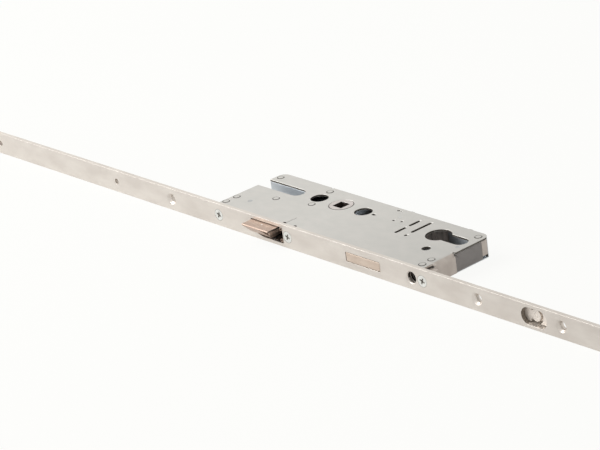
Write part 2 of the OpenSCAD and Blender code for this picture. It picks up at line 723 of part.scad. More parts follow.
module latch_stem() {
    plate_y1 = latch_back + 5.4;
    color("#b5b3ae") {
        translate([latch_x - 15, latch_back, stem_z0])
            cube([stem_x1 - latch_x + 15, plate_y1 - latch_back, stem_z1 - stem_z0]);
        difference() {
            translate([stem_x0, plate_y1 - eps, stem_z0])
                cube([stem_x1 - stem_x0, latch_pin_y + 2.6 - plate_y1, stem_z1 - stem_z0]);
            translate([-push_r, latch_pin_y, stem_z0 - 1]) cylinder(h = 5, r = latch_pin_r);
        }
    }
}

module latch_pin() {
    color("#c9c7c2") translate([-push_r, latch_pin_y, arm_z0])
        cylinder(h = stem_z1 - arm_z0, r = latch_pin_r);
}

// Compression spring between the latch bolt and the wall of the notch
module latch_spring() {
    turns = 7;
    steps = 8;
    y0 = latch_back + latch_wire / 2 + 0.05;
    y1 = spring_seat_y - latch_wire / 2 - 0.05;
    pitch = (y1 - y0) / turns;
    coil = winding((latch_spring_d - latch_wire) / 2, pitch, turns, steps);
    echo("least gap between turns of the latch spring", least_gap(coil, latch_wire, steps));
    color("#8e8d8a") translate([latch_spring_x, y0, 0]) rotate([-90, 0, 0])
        wire_along(coil, latch_wire / 2);
}

// Deadbolt with a narrower tail, and the pin that hangs into the slide's slot

module deadbolt() {
    tail_y0 = front_y + bolt_body_l - 9;
    color("#d6c6b6") difference() {
        union() {
            translate([0, 0, -bolt_t / 2]) linear_extrude(bolt_t)
                round_rect(bolt_x, front_y, bolt_x + bolt_l, tail_y0, 0.5);
            translate([bolt_cx - bolt_tail_w / 2, tail_y0 - 2, -bolt_t / 2])
                cube([bolt_tail_w, 11, bolt_t]);
        }
        translate([bolt_cx, bolt_pin_y, -bolt_t]) cylinder(h = 2 * bolt_t, r = bolt_pin_r - 0.6);
    }
}

module deadbolt_pin() {
    color("#c9c7c2") translate([bolt_cx, bolt_pin_y, 0]) {
        translate([0, 0, slide_z0]) cylinder(h = -bolt_t / 2 - slide_z0, r = bolt_pin_r);
        translate([0, 0, -bolt_t / 2 - eps]) cylinder(h = bolt_t + eps, r = bolt_pin_r - 0.6);
    }
}

// Drive slide, seen from above: a band past the follower, a wide plate at the
// deadbolt and an arm forward to each drive rod

module slide_shape() {
    wide_x0 = bolt_cx - bolt_pin_r - 6;
    wide_x1 = low_tab_x1;
    front = rod_y1 + gap;
    translate([up_arm_x0, band_y0]) square([wide_x1 - up_arm_x0, band_y1 - band_y0]);
    translate([up_arm_x0, front]) square([up_arm_x1 - up_arm_x0, band_y1 - front]);
    translate([wide_x0, rear_y + gap]) square([bolt_cx + rod_travel + 6 - wide_x0, band_y1 - rear_y - gap]);
    translate([bolt_cx, front]) square([wide_x1 - bolt_cx, band_y1 - front]);
}

module oblique_slot() {
    w = bolt_pin_r + gap;
    run_l = sqrt(rod_travel * rod_travel + bolt_throw * bolt_throw);
    translate([bolt_cx, bolt_pin_y]) rotate([0, 0, -atan(bolt_slope)]) obround(-w, run_l + w, 2 * w);
}

module drive_slide() {
    tab_t = 2;
    tab_y = rod_y1;
    color("#b8b6b1") difference() {
        union() {
            translate([0, 0, slide_z0]) linear_extrude(slide_t) difference() {
                slide_shape();
                oblique_slot();
                // recess for the tumbler's tooth over the whole travel
                translate([tooth_x - tooth_w / 2 - gap - 1.8, band_y1 - 1.8])
                    square([tooth_w + rod_travel + 2 * gap + 1.8, 3]);
            }
            for (t = [[up_arm_x0, up_arm_x1], [low_tab_x0, low_tab_x1]])
                translate([t[0], tab_y, slide_z0]) cube([t[1] - t[0], tab_t, tab_top_z - slide_z0]);
        }
        for (x = [up_tab_x, low_tab_x]) translate([x, 0, 0]) rotate([90, 0, 0])
            cylinder(h = 2 * backset, r = rod_rivet_r);
    }
}

// Block on the slide with two notches that the cylinder's cam enters in turn
module cam_block() {
    block_x0 = max(cyl_dist - 4, bolt_x + bolt_l + gap);
    block_x1 = low_tab_x1 - 1;
    block_y0 = -26;
    block_y1 = band_y1 - 0.8;
    notch = 6;
    notch_depth = 4.5;
    block_z1 = 1.5;
    color("#b0aeaa") translate([0, 0, slide_z1]) linear_extrude(block_z1 - slide_z1) difference() {
        translate([block_x0, block_y0]) square([block_x1 - block_x0, block_y1 - block_y0]);
        for (i = [0, 1]) translate([cyl_dist - notch / 2 + i * rod_travel / 2, block_y1 - notch_depth])
            square([notch, notch_depth + 1]);
    }
}

module slide_rivets() {
    color("#c9c7c2") for (x = [up_tab_x, low_tab_x])
        translate([x, rod_y0 + 0.1, 0]) rotate([-90, 0, 0]) {
            cylinder(h = rod_t + 2.4, r = rod_rivet_r);
            translate([0, 0, rod_t + 1.9]) cylinder(h = 0.8, r = rod_rivet_r + 0.7);
        }
}

// Drive rods: flat bars behind the faceplate with long slots round every screw
// and stud, so that each can travel past it

module rod_slot(x_first, x_last, w = rod_slot_w) {
    obround(x_first - w / 2, x_last + rod_travel + w / 2, w);
}

module rod_bar(x0, x1) {
    round_rect(x0, -rod_w / 2, x1, rod_w / 2, 1);
}

module upper_rod() {
    end_x = -plate_up + rod_travel + 2;
    color("#c6c4bf") along_y(rod_y0, rod_y1) difference() {
        rod_bar(end_x, up_rod_end);
        for (x = concat(studs_up, [lug_x_up, fix_x_up])) rod_slot(x, x);
        for (x = [pin_hole_x_1, pin_hole_x_2]) translate([x, 0]) circle(pin_hole_d / 2 + 0.4);
        translate([up_tab_x, 0]) circle(rod_rivet_r);
        translate([end_x + 5, 0]) circle(2);
    }
}

module lower_rod() {
    shoulder_x = coupling_x - coupling_r;
    color("#c6c4bf") along_y(rod_y0, rod_y1) difference() {
        union() {
            rod_bar(low_rod_end, shoulder_x);
            translate([coupling_x, 0]) circle(coupling_r);
            translate([shoulder_x - 1, -3]) square([coupling_r, 6]);
        }
        rod_slot(cyl_screw_x + 0.1, lug_x_low, cyl_screw_hole_d + 2 * gap);
        rod_slot(fix_x_low_1, stud_low);
        translate([low_tab_x, 0]) circle(rod_rivet_r);
        translate([coupling_x, 0]) circle(rod_rivet_r);
    }
}

module extension_rod() {
    end_x = plate_down - 2;
    color("#c6c4bf") along_y(rod_y0, rod_y1) difference() {
        rod_bar(coupling_x + 2, end_x);
        translate([coupling_x, 0]) circle(coupling_r + 1.9);
        for (x = [fix_x_low_2, stud_ext]) rod_slot(x, x);
        translate([coupling_x + 13, 0]) circle(rod_rivet_r);
        translate([end_x - 5, 0]) circle(2);
    }
}

module coupling_plate() {
    color("#aeaca8") along_y(rod_y1, rod_y1 + 1.4) difference() {
        round_rect(coupling_x - 3.4, -3.8, coupling_x + 16.4, 3.8, 1);
        for (x = [coupling_x, coupling_x + 13]) translate([x, 0]) circle(rod_rivet_r);
    }
}

module coupling_rivets() {
    color("#d3cdc2") for (x = [coupling_x, coupling_x + 13])
        translate([x, rod_y0, 0]) rotate([-90, 0, 0]) {
            cylinder(h = rod_t + 1.6, r = rod_rivet_r);
            translate([0, 0, rod_t + 1.4]) cylinder(h = 0.5, r = rod_rivet_r + 0.7);
        }
}

// Plain channel behind the faceplate that keeps the rod coupling in line
module coupling_guard() {
    wall = 0.8;
    inner_z = rod_w / 2 + gap + 0.2;
    inner_y = rod_y1 + 2.3;
    color("#3b3a38") difference() {
        translate([coupling_x - 10.5, rear_y, -inner_z - wall])
            cube([28, inner_y + wall - rear_y, 2 * inner_z + 2 * wall]);
        translate([coupling_x - 11.5, rear_y - 1, -inner_z]) cube([30, inner_y - rear_y + 1, 2 * inner_z]);
    }
}

// Tumbler: lever on its post, a tooth in the slide's recess, a tail that the
// cylinder's cam presses back

module tumbler_lever() {
    tail_x = bracket_x_a - bracket_t / 2 - 1.2;
    color("#b7a58f") difference() {
        union() {
            translate([0, 0, tumbler_z0]) linear_extrude(tumbler_z1 - tumbler_z0) {
                translate([tumbler_x, tumbler_y]) circle(tumbler_pin_r + 2);
                translate([tooth_x - tooth_w / 2, tumbler_y - 1.8]) square([tail_x - tooth_x + tooth_w / 2, 3.6]);
                translate([tooth_x - tooth_w / 2, band_y1 - 1.2]) square([tooth_w, tumbler_y - band_y1 + 1.2]);
            }
            translate([tooth_x - tooth_w / 2, band_y1 - 1.2, slide_z0])
                cube([tooth_w, 0.9, tumbler_z0 - slide_z0 + eps]);
        }
        translate([tumbler_x, tumbler_y, tumbler_z0 - 1]) cylinder(h = 5, r = tumbler_pin_r + run);
    }
}

// Leaf spring that presses the tumbler's tooth towards the slide
module tumbler_spring() {
    x0 = tumbler_x - 5.7;
    x1 = tumbler_x - 1;
    y0 = tumbler_y + 1.8 + 0.75;
    leaf = 0.5;
    y_seat = case_back - sheet_t;
    color("#8e8d8a") translate([0, 0, tumbler_z0]) linear_extrude(tumbler_z1 - tumbler_z0)
        polygon([pt(x0, y0), pt(x0 + 1, y0), pt(x1, y_seat - leaf),
            pt(x1 + 8, y_seat - leaf), pt(x1 + 8, y_seat - 0.02), pt(x1 - 0.6, y_seat - 0.02)]);
}

faceplate();
case_tray();
case_cover();
case_pillars();
case_screws();
end_panel();
cover_studs();
rod_guide_studs();
latch_guide();
deadbolt_guide();
guide_bracket();
cam_guard();
tumbler_post();
follower();
follower_spring();
latch_bolt();
latch_stem();
latch_pin();
latch_spring();
deadbolt();
deadbolt_pin();
drive_slide();
cam_block();
slide_rivets();
upper_rod();
lower_rod();
extension_rod();
coupling_plate();
coupling_rivets();
coupling_guard();
tumbler_lever();
tumbler_spring();
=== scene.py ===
"""Multipoint door lock: faceplate, riveted case with latch bolt and deadbolt, drive rods."""

import math

import bpy
from mathutils import Matrix, Vector


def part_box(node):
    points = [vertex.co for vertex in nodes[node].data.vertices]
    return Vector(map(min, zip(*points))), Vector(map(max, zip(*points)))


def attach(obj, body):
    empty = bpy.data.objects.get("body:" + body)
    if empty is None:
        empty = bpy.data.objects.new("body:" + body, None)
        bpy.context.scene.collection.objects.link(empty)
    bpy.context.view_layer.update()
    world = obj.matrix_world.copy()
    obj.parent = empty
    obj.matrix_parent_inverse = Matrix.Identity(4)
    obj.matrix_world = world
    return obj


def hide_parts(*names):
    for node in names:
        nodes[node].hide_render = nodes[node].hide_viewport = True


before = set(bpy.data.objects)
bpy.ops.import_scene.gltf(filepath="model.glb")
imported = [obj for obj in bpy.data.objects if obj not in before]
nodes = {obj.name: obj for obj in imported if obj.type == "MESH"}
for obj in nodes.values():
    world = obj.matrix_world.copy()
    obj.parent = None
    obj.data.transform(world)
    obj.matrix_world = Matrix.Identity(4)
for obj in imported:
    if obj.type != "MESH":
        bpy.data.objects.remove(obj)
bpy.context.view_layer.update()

# Camera
# A long lens looks down on the lock as it lies on its side, turned so that the
# faceplate crosses the picture and the case runs off to the upper right.
MM = 0.001
CAMERA_AZIMUTH = math.radians(51.4237)
CAMERA_ELEVATION = math.radians(22.4559)
CAMERA_ROLL = math.radians(-7.7745)
CAMERA_DISTANCE = 1801.5 * MM
CAMERA_TARGET = Vector((-12.455, -26.717, 0)) * MM
SENSOR_WIDTH = 36
FOCAL_PIXELS = 2750.9
PHOTO_WIDTH = 600
NEAREST, FARTHEST = 0.01, 100

right = Vector((math.cos(CAMERA_AZIMUTH), math.sin(CAMERA_AZIMUTH), 0))
forward = Vector((
    -math.sin(CAMERA_AZIMUTH) * math.cos(CAMERA_ELEVATION),
    math.cos(CAMERA_AZIMUTH) * math.cos(CAMERA_ELEVATION),
    -math.sin(CAMERA_ELEVATION),
))
up = right.cross(forward)
rolled_right = math.cos(CAMERA_ROLL) * right + math.sin(CAMERA_ROLL) * up
rolled_up = -math.sin(CAMERA_ROLL) * right + math.cos(CAMERA_ROLL) * up
camera_data = bpy.data.cameras.new("camera")
camera_data.sensor_width = SENSOR_WIDTH
camera_data.sensor_fit = "HORIZONTAL"
camera_data.lens = FOCAL_PIXELS * SENSOR_WIDTH / PHOTO_WIDTH
camera_data.clip_start = NEAREST
camera_data.clip_end = FARTHEST
camera = bpy.data.objects.new("camera", camera_data)
bpy.context.scene.collection.objects.link(camera)
turn = Matrix((rolled_right, rolled_up, -forward)).transposed()
stand = Matrix.Translation(CAMERA_TARGET - forward * CAMERA_DISTANCE)
camera.matrix_world = stand @ turn.to_4x4()
bpy.context.scene.camera = camera

# Faceplate
# A long flat bar of steel, rolled, punched and countersunk, then given a warm
# silver coat by galvanising. The coat is satin, faintly clouded along the bar. The
# bar's edges are eased, and the walls of its access slot, countersinks and cylinder
# screw hole are painted dark and brown as shade.
EVEN = (1, 1, 1)
CLOUD_DETAIL = 4
CLOUD_EDGES = (0.35, 0.65)
RELIEF_DETAIL = 2
MERGE_MM = 0.001
FLAT_WITHIN = math.radians(1)
SMOOTH_BELOW = math.radians(48)


def linear(hex_colour):
    """The linear colour of an sRGB hex value, with full alpha."""
    values = [int(hex_colour[i : i + 2], 16) / 255 for i in (1, 3, 5)]
    return [v / 12.92 if v <= 0.04045 else ((v + 0.055) / 1.055) ** 2.4 for v in values] + [1]


def add_node(tree, kind, links=None, inputs=None, **settings):
    """Adds a node with its own settings, its input values and what is linked to them."""
    node = tree.nodes.new(kind)
    for name, value in settings.items():
        setattr(node, name, value)
    for socket, value in (inputs or {}).items():
        node.inputs[socket].default_value = value
    for socket, source in (links or {}).items():
        tree.links.new(source, node.inputs[socket])
    return node


def grain(tree, position, size_mm, stretch, detail):
    """Soft noise whose grain has a size in millimetres along X, Y and Z."""
    scale = [1 / (size_mm * MM * s) for s in stretch]
    mapping = add_node(tree, "ShaderNodeMapping", {"Vector": position}, {"Scale": scale})
    return add_node(
        tree, "ShaderNodeTexNoise", {"Vector": mapping.outputs[0]},
        {"Scale": 1, "Detail": detail})


def metal_finish(
        name, *, dark, light, metallic, roughness, cloud_mm, relief_mm, relief_height_mm,
        cloud_stretch=EVEN, relief_stretch=EVEN, painted_falloff=None):
    """A metal or plastic skin: two tones in clouds, a fine relief, and its own gloss.

    The real relief is finer than a pixel, so it is drawn about a millimetre coarse.
    The last argument paints shade along X, as (from x, to x, share of the tone left), in
    millimetres along the lock.
    """
    material = bpy.data.materials.new(name)
    material.use_nodes = True
    tree = material.node_tree
    tree.nodes.clear()
    position = add_node(tree, "ShaderNodeTexCoord").outputs["Object"]
    clouds = grain(tree, position, cloud_mm, cloud_stretch, CLOUD_DETAIL)
    ramp = add_node(tree, "ShaderNodeValToRGB", {"Fac": clouds.outputs["Fac"]})
    for stop, place, shade in zip(ramp.color_ramp.elements, CLOUD_EDGES, (dark, light)):
        stop.position = place
        stop.color = linear(shade)
    tone = ramp.outputs[0]
    # Painted shade: the tone darkens along X between two places.
    if painted_falloff:
        along = add_node(tree, "ShaderNodeSeparateXYZ", {0: position}).outputs["X"]
        fade = add_node(
            tree, "ShaderNodeMapRange", {"Value": along},
            {"From Min": painted_falloff[0] * MM, "From Max": painted_falloff[1] * MM,
             "To Min": 1, "To Max": painted_falloff[2]})
        faded = add_node(
            tree, "ShaderNodeVectorMath", {0: tone, "Scale": fade.outputs[0]},
            operation="SCALE")
        tone = faded.outputs[0]
    relief = grain(tree, position, relief_mm, relief_stretch, RELIEF_DETAIL)
    bump = add_node(
        tree, "ShaderNodeBump", {"Height": relief.outputs["Fac"]},
        {"Distance": relief_height_mm * MM})
    shader = add_node(
        tree, "ShaderNodeBsdfPrincipled",
        {"Base Color": tone, "Normal": bump.outputs[0]},
        {"Metallic": metallic, "Roughness": roughness})
    add_node(tree, "ShaderNodeOutputMaterial", {"Surface": shader.outputs[0]})
    return material


def select_only(thing):
    """Deselects everything else and makes one object active."""
    bpy.ops.object.select_all(action="DESELECT")
    thing.select_set(True)
    bpy.context.view_layer.objects.active = thing


def apply_modifier(piece, name, kind, **settings):
    """Adds a modifier with its settings to a piece and applies it."""
    modifier = piece.modifiers.new(name, kind)
    for setting, value in settings.items():
        setattr(modifier, setting, value)
    select_only(piece)
    bpy.ops.object.modifier_apply(modifier=modifier.name)


def clean_copy(node_name, piece_name, material):
    """A copy of a CAD part with its points joined and its flat faces whole."""
    piece = bpy.data.objects.new(piece_name, nodes[node_name].data.copy())
    bpy.context.scene.collection.objects.link(piece)
    piece.data.materials.clear()
    piece.data.materials.append(material)
    select_only(piece)
    bpy.ops.mesh.customdata_custom_splitnormals_clear()
    bpy.ops.object.mode_set(mode="EDIT")
    bpy.ops.mesh.select_all(action="SELECT")
    bpy.ops.mesh.remove_doubles(threshold=MERGE_MM * MM)
    bpy.ops.mesh.dissolve_limited(angle_limit=FLAT_WITHIN)
    bpy.ops.object.mode_set(mode="OBJECT")
    return piece


def ease_edges(piece, edge_mm, sharp_degrees=50, segments=2):
    """Rounds the sharp edges of a piece, and keeps its flat faces flat to the light."""
    apply_modifier(
        piece, "eased_edges", "BEVEL", width=edge_mm * MM, segments=segments,
        limit_method="ANGLE", angle_limit=math.radians(sharp_degrees),
        use_clamp_overlap=False, loop_slide=False)
    bpy.ops.object.shade_smooth_by_angle(angle=SMOOTH_BELOW)
    apply_modifier(
        piece, "flat_faces", "WEIGHTED_NORMAL", mode="FACE_AREA", weight=100, keep_sharp=True)


def eased_copy(node_name, piece_name, material, edge_mm, segments=2):
    """A finer copy of a CAD part with all its sharp edges eased."""
    piece = clean_copy(node_name, piece_name, material)
    ease_edges(piece, edge_mm, segments=segments)
    return piece


def paint_faces(piece, material, chosen):
    """Another finish for faces chosen by their centre, in millimetres, and normal."""
    piece.data.materials.append(material)
    index = len(piece.data.materials) - 1
    for face in piece.data.polygons:
        if chosen(face.center / MM, face.normal):
            face.material_index = index


def fit(piece, body, slot, *replaced):
    """Lets a piece ride on its body and stand for CAD parts, which it hides; its slot is not
    used.
    """
    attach(piece, body)
    if replaced:
        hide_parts(*replaced)


# Galvanised steel: warm and satin, with soft clouds drawn out along the bar, and painted
# shade that darkens it by a tenth toward the lower end.
galvanised_coat = metal_finish(
    "warm_silver_galvanised_coat", dark="#d3cbc3", light="#ded7cf",
    metallic=0.75, roughness=0.42, cloud_mm=9, cloud_stretch=(2.5, 1, 1),
    relief_mm=1.6, relief_stretch=(2.5, 1, 1), relief_height_mm=0.012,
    painted_falloff=(-60, 260, 0.9))
# Bare steel in a punched edge, with a film of oil: dull and brown. It is also painted as
# shade in slots, in a notch and on tab tops down in slots.
edge_oil_and_shade = metal_finish(
    "oily_punched_edge_and_painted_shade", dark="#4a443e", light="#5d564e",
    metallic=0.3, roughness=0.55, cloud_mm=2, relief_mm=0.8, relief_height_mm=0.03)
# Painted shade on the walls of slots and countersinks: a duller, browner silver.
shaded_edge = metal_finish(
    "shaded_slot_wall", dark="#7d746a", light="#8f857b",
    metallic=0.4, roughness=0.5, cloud_mm=2, relief_mm=0.8, relief_height_mm=0.02)
# Painted shade in a deep bore: almost black, and matt.
bore_shade = metal_finish(
    "painted_bore_shade", dark="#261e18", light="#362d26",
    metallic=0.1, roughness=0.6, cloud_mm=2, relief_mm=0.8, relief_height_mm=0.03)
# A hole's wall has a normal that leans less than WALL_LEAN along the hole, and a
# flat face has one that leans more than FLAT_LEAN out of it.
WALL_LEAN = 0.3
FLAT_LEAN = 0.97
ACCESS_SLOT = (205, 235)
ACCESS_HALF_WIDTH = 6.5
ACCESS_END_LEAN = 0.35
CYLINDER_SCREW_X = 112.6
CYLINDER_SCREW_REACH = 4.7
CASE_SCREWS_X = (-74.1, -4.3, 122.4)
COUNTERSINK_REACH = 6
CONE_LEAN = 0.1
faceplate_bar = eased_copy("faceplate", "faceplate_bar", galvanised_coat, edge_mm=0.14)
# Painted shade on the end walls of the access slot.
paint_faces(
    faceplate_bar, shaded_edge,
    lambda centre, normal: ACCESS_SLOT[0] < centre.x < ACCESS_SLOT[1]
    and abs(centre.z) < ACCESS_HALF_WIDTH and normal.x > ACCESS_END_LEAN)
# Painted shade, near black, in the bore of the cylinder screw hole.
paint_faces(
    faceplate_bar, bore_shade,
    lambda centre, normal:
    math.hypot(centre.x - CYLINDER_SCREW_X, centre.z) < CYLINDER_SCREW_REACH
    and normal.z < WALL_LEAN and abs(normal.y) < WALL_LEAN)
# Painted shade on the countersink cones of the case screws.
paint_faces(
    faceplate_bar, shaded_edge,
    lambda centre, normal:
    min(math.hypot(centre.x - x, centre.z) for x in CASE_SCREWS_X) < COUNTERSINK_REACH
    and CONE_LEAN < -normal.y < FLAT_LEAN)
fit(faceplate_bar, "case", "faceplate_metal", "faceplate")

# Rod guide studs
# Short turned steel studs with flat heads, welded to the back of the faceplate,
# on which the drive rods slide. Bright zinc plating leaves them a cool light grey.
bright_zinc = metal_finish(
    "bright_zinc_plating", dark="#c2c1be", light="#cbcac6",
    metallic=0.75, roughness=0.38, cloud_mm=6, relief_mm=1.2, relief_height_mm=0.01)
guide_studs = eased_copy("rod_guide_studs", "turned_guide_studs", bright_zinc, edge_mm=0.2)
fit(guide_studs, "case", "rivet_steel", "rod_guide_studs")

# Drive rods
# Three flat bars of zinc plated steel behind the faceplate, punched with long
# slots; the lower two meet at a riveted coupling under the access slot. The zinc
# is pale and warm, with fine marks of drawing along the bars.
rod_zinc = metal_finish(
    "drawn_zinc_plated_bar", dark="#e4dbd2", light="#eae2d9",
    metallic=0.5, roughness=0.42, cloud_mm=8, cloud_stretch=(4, 1, 1),
    relief_mm=0.8, relief_stretch=(6, 1, 1), relief_height_mm=0.012)
SCREW_SLOT = (104.5, 123)
SCREW_SLOT_REACH = 4.9
for node_name, piece_name in (
        ("upper_rod", "upper_drive_rod"), ("lower_rod", "lower_drive_rod"),
        ("extension_rod", "extension_drive_rod"), ("coupling_plate", "rod_coupling_plate")):
    rod = eased_copy(node_name, piece_name, rod_zinc, edge_mm=0.25)
    # Painted shade, near black, on the slot walls by the cylinder screw.
    paint_faces(
        rod, bore_shade,
        lambda centre, normal: SCREW_SLOT[0] < centre.x < SCREW_SLOT[1]
        and abs(centre.z) < SCREW_SLOT_REACH and abs(normal.y) < WALL_LEAN)
    fit(rod, "drive", "rod_steel", node_name)
coupling_rivets = eased_copy("coupling_rivets", "rod_coupling_rivets", rod_zinc, edge_mm=0.2)
fit(coupling_rivets, "drive", "rivet_steel", "coupling_rivets")

# Rod coupling guard
# A small channel moulded in matt, warm grey plastic that clips behind the faceplate
# and keeps the coupling in line. Its rear corners are cut off, so the bar hides it.
grey_plastic = metal_finish(
    "moulded_grey_plastic", dark="#a89f94", light="#b4aba0",
    metallic=0, roughness=0.55, cloud_mm=3, relief_mm=0.8, relief_height_mm=0.02)
GUARD_WALL = 0.8
OUTER_CUT = 2.8
INNER_CUT = 2
CORNER_SLACK = 0.05
SHORTEST_CORNER = 1


def cut_corners(piece, rear_mm, side_mm, cut_mm):
    """Cuts off the two long corners of a channel that lie at a depth and a half width."""
    mesh = piece.data
    for item in (*mesh.vertices, *mesh.edges, *mesh.polygons):
        item.select = False
    for edge in mesh.edges:
        ends = [mesh.vertices[i].co / MM for i in edge.vertices]
        at_corner = all(
            abs(end.y - rear_mm) < CORNER_SLACK
            and abs(abs(end.z) - side_mm) < CORNER_SLACK for end in ends)
        edge.select = at_corner and abs(ends[0].x - ends[1].x) > SHORTEST_CORNER
    bpy.context.tool_settings.mesh_select_mode = (False, True, False)
    select_only(piece)
    bpy.ops.object.mode_set(mode="EDIT")
    bpy.ops.mesh.bevel(offset=cut_mm * MM, segments=1, affect="EDGES")
    bpy.ops.object.mode_set(mode="OBJECT")


coupling_guard = clean_copy("coupling_guard", "moulded_coupling_guard", grey_plastic)
guard_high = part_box("coupling_guard")[1] / MM
cut_corners(coupling_guard, guard_high.y, guard_high.z, OUTER_CUT)
cut_corners(coupling_guard, guard_high.y - GUARD_WALL, guard_high.z - GUARD_WALL, INNER_CUT)
ease_edges(coupling_guard, edge_mm=0.15, sharp_degrees=40)
fit(coupling_guard, "case", "guide_plastic", "coupling_guard")

# Case tray
# The deeper half of the lock case, folded from zinc plated sheet steel, with
# lugs for the screws. The plating is cooler in tone than the faceplate's coat. At
# the lower end it is painted darker and warmer as shade, and the notch at its foot
# is painted dark as shade.
tray_zinc = metal_finish(
    "cool_zinc_plated_sheet", dark="#b7bcc1", light="#c1c6ca",
    metallic=0.75, roughness=0.4, cloud_mm=8, cloud_stretch=(1.5, 1, 1),
    relief_mm=1.2, relief_height_mm=0.012)
# A darker, warmer copy of the zinc: painted shade on faces turned to the lower end, away from
# the lamps.
end_face_shade_zinc = metal_finish(
    "zinc_with_painted_end_shade", dark="#b3a9a1", light="#beb5ad",
    metallic=0.7, roughness=0.45, cloud_mm=6, cloud_stretch=(1, 1, 1.5),
    relief_mm=1.4, relief_height_mm=0.015)
END_WALL = 120.5
END_WALL_SHOWS_FROM = 8
LUG_SHOWS_TO = -30
UNDERSIDE_LEAN = -0.5
NOTCH_X = 119
NOTCH_Y = (8, 14.5)
NOTCH_TOP = -4
tray = eased_copy("case_tray", "folded_case_tray", tray_zinc, edge_mm=0.3)
# Painted shade on the end wall and the lugs at the lower end.
paint_faces(
    tray, end_face_shade_zinc,
    lambda centre, normal: centre.x > END_WALL and normal.z > UNDERSIDE_LEAN
    and (centre.y > END_WALL_SHOWS_FROM or centre.y < LUG_SHOWS_TO))
# Painted shade in the notch at the foot of the tray.
paint_faces(
    tray, edge_oil_and_shade,
    lambda centre, normal:
    centre.x > NOTCH_X and NOTCH_Y[0] < centre.y < NOTCH_Y[1] and centre.z < NOTCH_TOP)
fit(tray, "case", "cover_steel", "case_tray")

# Bolt guides, bracket, cam guard and tumbler post
# Parts fixed inside the case: a black plastic frame for the latch, a plain steel
# frame for the deadbolt, a folded bracket whose tabs fill slots in the cover, a
# ribbed casting round the cam, dull grey under its oil, and a turned post.
black_plastic = metal_finish(
    "moulded_black_plastic", dark="#35322f", light="#3f3b37",
    metallic=0, roughness=0.55, cloud_mm=3, relief_mm=0.8, relief_height_mm=0.02)
inner_steel = metal_finish(
    "plain_oiled_steel", dark="#8f8b84", light="#a09c95",
    metallic=0.7, roughness=0.42, cloud_mm=5, cloud_stretch=(1.5, 1, 1),
    relief_mm=1.0, relief_height_mm=0.012)
oiled_casting = metal_finish(
    "oiled_grey_casting", dark="#726a66", light="#a1968f",
    metallic=0.1, roughness=0.5, cloud_mm=2.5, cloud_stretch=(1, 1, 4),
    relief_mm=1.0, relief_height_mm=0.04)
TAB_TOP = 6.3
TAB_SHOWS = 0.4
latch_frame = eased_copy("latch_guide", "moulded_latch_guide", black_plastic, edge_mm=0.3)
fit(latch_frame, "case", "guide_plastic", "latch_guide")
deadbolt_frame = eased_copy(
    "deadbolt_guide", "punched_deadbolt_guide", inner_steel, edge_mm=0.2)
fit(deadbolt_frame, "case", "inner_steel", "deadbolt_guide")
bracket = eased_copy("guide_bracket", "folded_guide_bracket", inner_steel, edge_mm=0.2)
# Painted shade on the tab tops, down in the cover's slots.
paint_faces(bracket, edge_oil_and_shade, lambda centre, normal: centre.z > TAB_TOP - TAB_SHOWS)
fit(bracket, "case", "inner_steel", "guide_bracket")
cam_guard = eased_copy("cam_guard", "ribbed_cam_guard", oiled_casting, edge_mm=0.15)
fit(cam_guard, "case", "casting", "cam_guard")


def dress(node_name, material):
    """Gives a CAD part its finish."""
    piece = nodes[node_name]
    piece.data.materials.clear()
    piece.data.materials.append(material)
    for face in piece.data.polygons:
        face.material_index = 0


dress("tumbler_post", bright_zinc)

# Follower
# A casting with a square socket through it, ground to a faint rose grey on its
# collars, with painted shade inside the socket and in the seam round the
# collar. Its spring lies round the collar.
ground_casting = metal_finish(
    "ground_rose_grey_casting", dark="#c8bfbb", light="#d1c9c5",
    metallic=0.6, roughness=0.42, cloud_mm=5, relief_mm=1.0, relief_height_mm=0.015)
# Painted shade, near black, for the socket and the small relief holes.
deep_hole_shade = metal_finish(
    "painted_deep_hole_shade", dark="#241714", light="#2f1f1b",
    metallic=0.1, roughness=0.6, cloud_mm=2, relief_mm=0.8, relief_height_mm=0.03)
# Painted shade in the seam round the collar.
collar_seam_shade = metal_finish(
    "painted_collar_seam_shade", dark="#38322f", light="#514a46",
    metallic=0.3, roughness=0.55, cloud_mm=2, relief_mm=0.8, relief_height_mm=0.02)
SOCKET_REACH = 4.3
SOCKET_WALL_LEAN = 0.5
COLLAR_RIM = 7.9
COLLAR_SEAM_Z = 6.5
follower = eased_copy("follower", "cast_follower", ground_casting, edge_mm=0.4)
paint_faces(
    follower, deep_hole_shade,
    lambda centre, normal: max(abs(centre.x), abs(centre.y)) < SOCKET_REACH
    and abs(normal.z) < SOCKET_WALL_LEAN)
paint_faces(
    follower, collar_seam_shade,
    lambda centre, normal: math.hypot(centre.x, centre.y) > COLLAR_RIM
    and centre.z > COLLAR_SEAM_Z and normal.z < FLAT_LEAN)
fit(follower, "follower", "follower_metal", "follower")
dress("follower_spring", inner_steel)

# Latch bolt
# A sintered steel head with a long bevel ground to a thin nose, warm beige from its
# coat, hollow at the end next to the spindle, with painted shade in the hollow and on
# that end. A small stop pin, painted near white as a highlight, stands out of its top,
# and two hollow pegs with painted shade in their bores fill the gap beside it.
warm_sinter = metal_finish(
    "warm_sintered_steel", dark="#b49c8d", light="#bfa999",
    metallic=0.45, roughness=0.45, cloud_mm=4, cloud_stretch=(1.4, 1, 1),
    relief_mm=1.0, relief_height_mm=0.02)
# Painted shade, dark brown, for the hollow end of the latch and the bores of the pegs.
hollow_shade = metal_finish(
    "painted_hollow_shade", dark="#2b211b", light="#4b3b31",
    metallic=0.1, roughness=0.6, cloud_mm=2, relief_mm=1.0, relief_height_mm=0.04)
